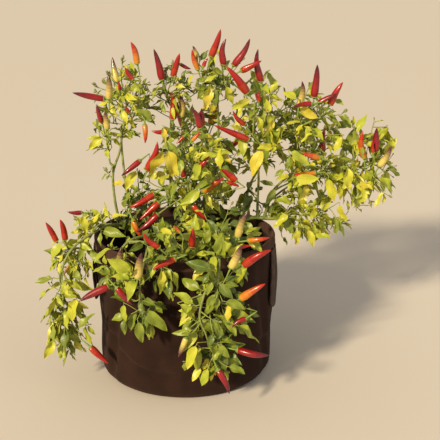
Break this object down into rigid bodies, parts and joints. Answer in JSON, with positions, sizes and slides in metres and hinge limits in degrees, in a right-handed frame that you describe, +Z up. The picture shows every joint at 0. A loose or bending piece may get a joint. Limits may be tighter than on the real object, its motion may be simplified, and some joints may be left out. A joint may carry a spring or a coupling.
{
  "type": "chilli pepper plant",
  "caption": "Chilli pepper plant with upright and hanging fruits, rooted in a soft felt grow bag with strap handles and filled with potting mix.",
  "frame": {"origin": "middle of the bag's flat underside", "axes": "+Z up, -Y towards the side seen in the picture, +X to its right"},
  "size_m": [0.5818, 0.4225, 0.5765],
  "materials": {
    "grow_bag_felt": "matt brown needle-punched felt, soft and slightly fuzzy",
    "webbing": "matt brown woven webbing, stitched on",
    "potting_mix": "dark crumbly bark and peat mix",
    "stem": "satin, woody and olive at the foot, pale green above",
    "foliage": "satin leaves from mid green to yellow, glossy red, orange and cream fruits"
  },
  "bodies": {
    "root": {"back_centre_bough": "stem", "back_far_right_stem": "stem", "back_hanging_bough": "stem", "back_left_stem": "stem", "back_low_bough": "stem", "back_right_stem": "stem", "centre_bough": "stem", "far_right_stem": "stem", "foliage_back_centre": "foliage", "foliage_back_far_right": "foliage", "foliage_back_hanging": "foliage", "foliage_back_left": "foliage", "foliage_back_low": "foliage", "foliage_back_right": "foliage", "foliage_centre": "foliage", "foliage_far_right": "foliage", "foliage_front_centre": "foliage", "foliage_front_left": "foliage", "foliage_front_left_low": "foliage", "foliage_front_middle": "foliage", "foliage_hanging_front": "foliage", "foliage_hanging_front_tip": "foliage", "foliage_hanging_left": "foliage", "foliage_inner_left": "foliage", "foliage_left": "foliage", "foliage_left_low": "foliage", "foliage_left_sprig": "foliage", "foliage_right_low": "foliage", "foliage_right_mid": "foliage", "foliage_right_top": "foliage", "foliage_top_centre": "foliage", "foliage_top_left": "foliage", "foliage_upper_left": "foliage", "foliage_upper_right": "foliage", "front_centre_bough": "stem", "front_left_bough": "stem", "front_left_low_stem": "stem", "front_middle_bough": "stem", "grow_bag": "grow_bag_felt", "handle_left": "webbing", "handle_right": "webbing", "hanging_front_bough": "stem", "hanging_left_bough": "stem", "hanging_tip_stem": "stem", "inner_left_stem": "stem", "left_bough": "stem", "left_rim_bough": "stem", "left_sprig_stem": "stem", "main_stem": "stem", "potting_soil": "potting_mix", "right_bough": "stem", "right_mid_stem": "stem", "right_top_stem": "stem", "top_centre_bough": "stem", "top_left_bough": "stem", "upper_left_stem": "stem", "upper_right_stem": "stem"}
  },
  "joints": []
}
